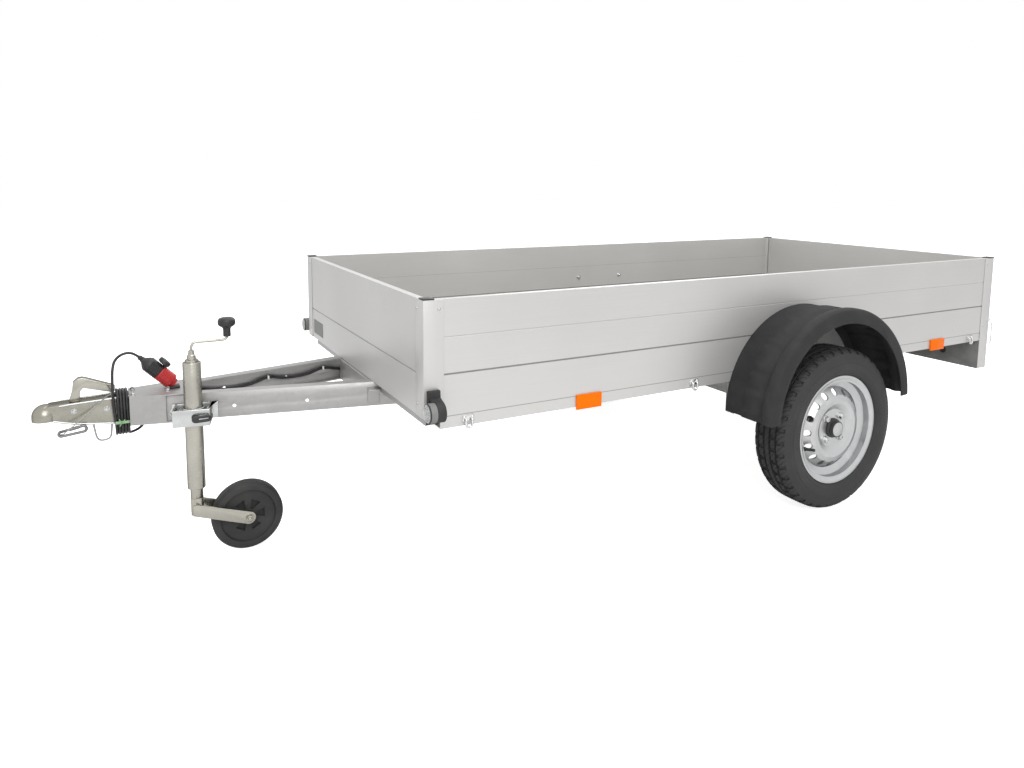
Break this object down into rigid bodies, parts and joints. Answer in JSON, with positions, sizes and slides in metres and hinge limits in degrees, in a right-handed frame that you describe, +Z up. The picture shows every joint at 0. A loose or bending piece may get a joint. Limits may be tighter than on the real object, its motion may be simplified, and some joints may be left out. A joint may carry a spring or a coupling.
{
  "type": "utility trailer",
  "caption": "Unbraked single-axle box trailer with aluminium drop-side tailgate box, V drawbar, ball coupling, jockey wheel, mudguards and lights.",
  "frame": {"origin": "on the ground, under the centre of the whole trailer", "axes": "+X to the trailer's left side, -Y forward to the coupling, +Z up"},
  "size_m": [1.602, 3.452, 0.784],
  "materials": {
    "galvanised_steel": "hot-dip galvanised",
    "anodised_aluminium": "satin anodised",
    "zinc_plate": "yellowish zinc plating",
    "plywood": "film-faced plywood",
    "black_plastic": "fine-grained black plastic",
    "black_rubber": "dull black rubber",
    "grey_sheet": "dull grey coated sheet",
    "red_lens": "clear red lamp plastic",
    "plate_white": "blank white sheet",
    "orange_reflector": "orange prismatic plastic",
    "steel_cable": "bare steel",
    "red_plastic": "red moulded plastic",
    "crank_steel": "zinc plated, black knob",
    "tyre_rubber": "dull black",
    "wheel_silver": "silver lacquer",
    "hub_grey": "dull grey casting"
  },
  "bodies": {
    "chassis": {"drawbar_arm_left": "galvanised_steel", "drawbar_arm_right": "galvanised_steel", "drawbar_head": "galvanised_steel", "drawbar_brackets": "galvanised_steel", "floor_bearers": "galvanised_steel", "floor_panel": "plywood", "side_rail_left": "anodised_aluminium", "side_rail_right": "anodised_aluminium", "rear_sill": "galvanised_steel", "axle_beam": "galvanised_steel", "suspension_arm_left": "galvanised_steel", "suspension_arm_right": "galvanised_steel", "front_wall": "anodised_aluminium", "side_wall_left": "anodised_aluminium", "side_wall_right": "anodised_aluminium", "front_posts": "anodised_aluminium", "rear_posts": "anodised_aluminium", "corner_caps": "black_plastic", "hinge_pins": "zinc_plate", "light_board": "grey_sheet", "tail_lamps": "red_lens", "number_plate": "plate_white", "front_lamp_left": "black_rubber", "front_lamp_right": "black_rubber", "side_reflectors": "orange_reflector", "rope_hooks": "zinc_plate", "mudguard_left": "black_plastic", "mudguard_right": "black_plastic", "mudguard_stays": "grey_sheet", "type_plate": "grey_sheet", "coupling_head": "zinc_plate", "coupling_handle": "zinc_plate", "cable_loop": "zinc_plate", "cable_anchor": "zinc_plate", "snap_hook": "steel_cable", "safety_cable": "steel_cable", "plug_holder": "red_plastic", "plug": "black_plastic", "cable_grommet": "black_rubber", "plug_cable": "black_rubber", "plug_cable_root": "black_rubber", "plug_cable_coil": "black_rubber", "wiring_loom": "black_rubber", "jockey_clamp": "galvanised_steel", "clamp_handle": "black_plastic"},
    "tailgate": {"tailgate": "anodised_aluminium", "tailgate_latches": "zinc_plate"},
    "jockey_tube": {"jockey_tube": "zinc_plate"},
    "jockey_crank": {"jockey_crank": "crank_steel"},
    "jockey_leg": {"jockey_leg": "zinc_plate"},
    "jockey_fork": {"jockey_fork": "zinc_plate"},
    "jockey_wheel": {"jockey_wheel": "black_rubber"},
    "wheel_left": {"tyre_left": "tyre_rubber", "rim_left": "wheel_silver", "hub_left": "hub_grey"},
    "wheel_right": {"tyre_right": "tyre_rubber", "rim_right": "wheel_silver", "hub_right": "hub_grey"}
  },
  "joints": [
    {"name": "wheel_left_spin", "type": "hinge", "parent": "chassis", "child": "wheel_left", "pos_m": [0.712, 0.576, 0.272], "axis": [1, 0, 0], "continuous": true},
    {"name": "wheel_right_spin", "type": "hinge", "parent": "chassis", "child": "wheel_right", "pos_m": [-0.712, 0.576, 0.272], "axis": [1, 0, 0], "continuous": true},
    {"name": "tailgate_hinge", "type": "hinge", "parent": "chassis", "child": "tailgate", "pos_m": [0, 1.718, 0.476], "axis": [-1, 0, 0], "range_deg": [0, 170]},
    {"name": "jockey_tube_slide", "type": "slide", "parent": "chassis", "child": "jockey_tube", "axis": [0, 0, 1], "range_m": [-0.09, 0.15]},
    {"name": "jockey_crank_turn", "type": "hinge", "parent": "jockey_tube", "child": "jockey_crank", "pos_m": [0.126, -1.331, 0], "axis": [0, 0, 1], "range_deg": [-2520, 18000]},
    {"name": "jockey_leg_slide", "type": "slide", "parent": "jockey_tube", "child": "jockey_leg", "axis": [0, 0, 1], "range_m": [-0.2005, 0.0285]},
    {"name": "jockey_swivel", "type": "hinge", "parent": "jockey_leg", "child": "jockey_fork", "pos_m": [0.126, -1.331, 0], "axis": [0, 0, 1], "continuous": true},
    {"name": "jockey_wheel_spin", "type": "hinge", "parent": "jockey_fork", "child": "jockey_wheel", "pos_m": [0.126, -1.196, 0.1], "axis": [1, 0, 0], "continuous": true}
  ],
  "couplings": [
    {"joint": "jockey_leg_slide", "follows": "jockey_crank_turn", "m_per_rad": -0.00063662}
  ]
}
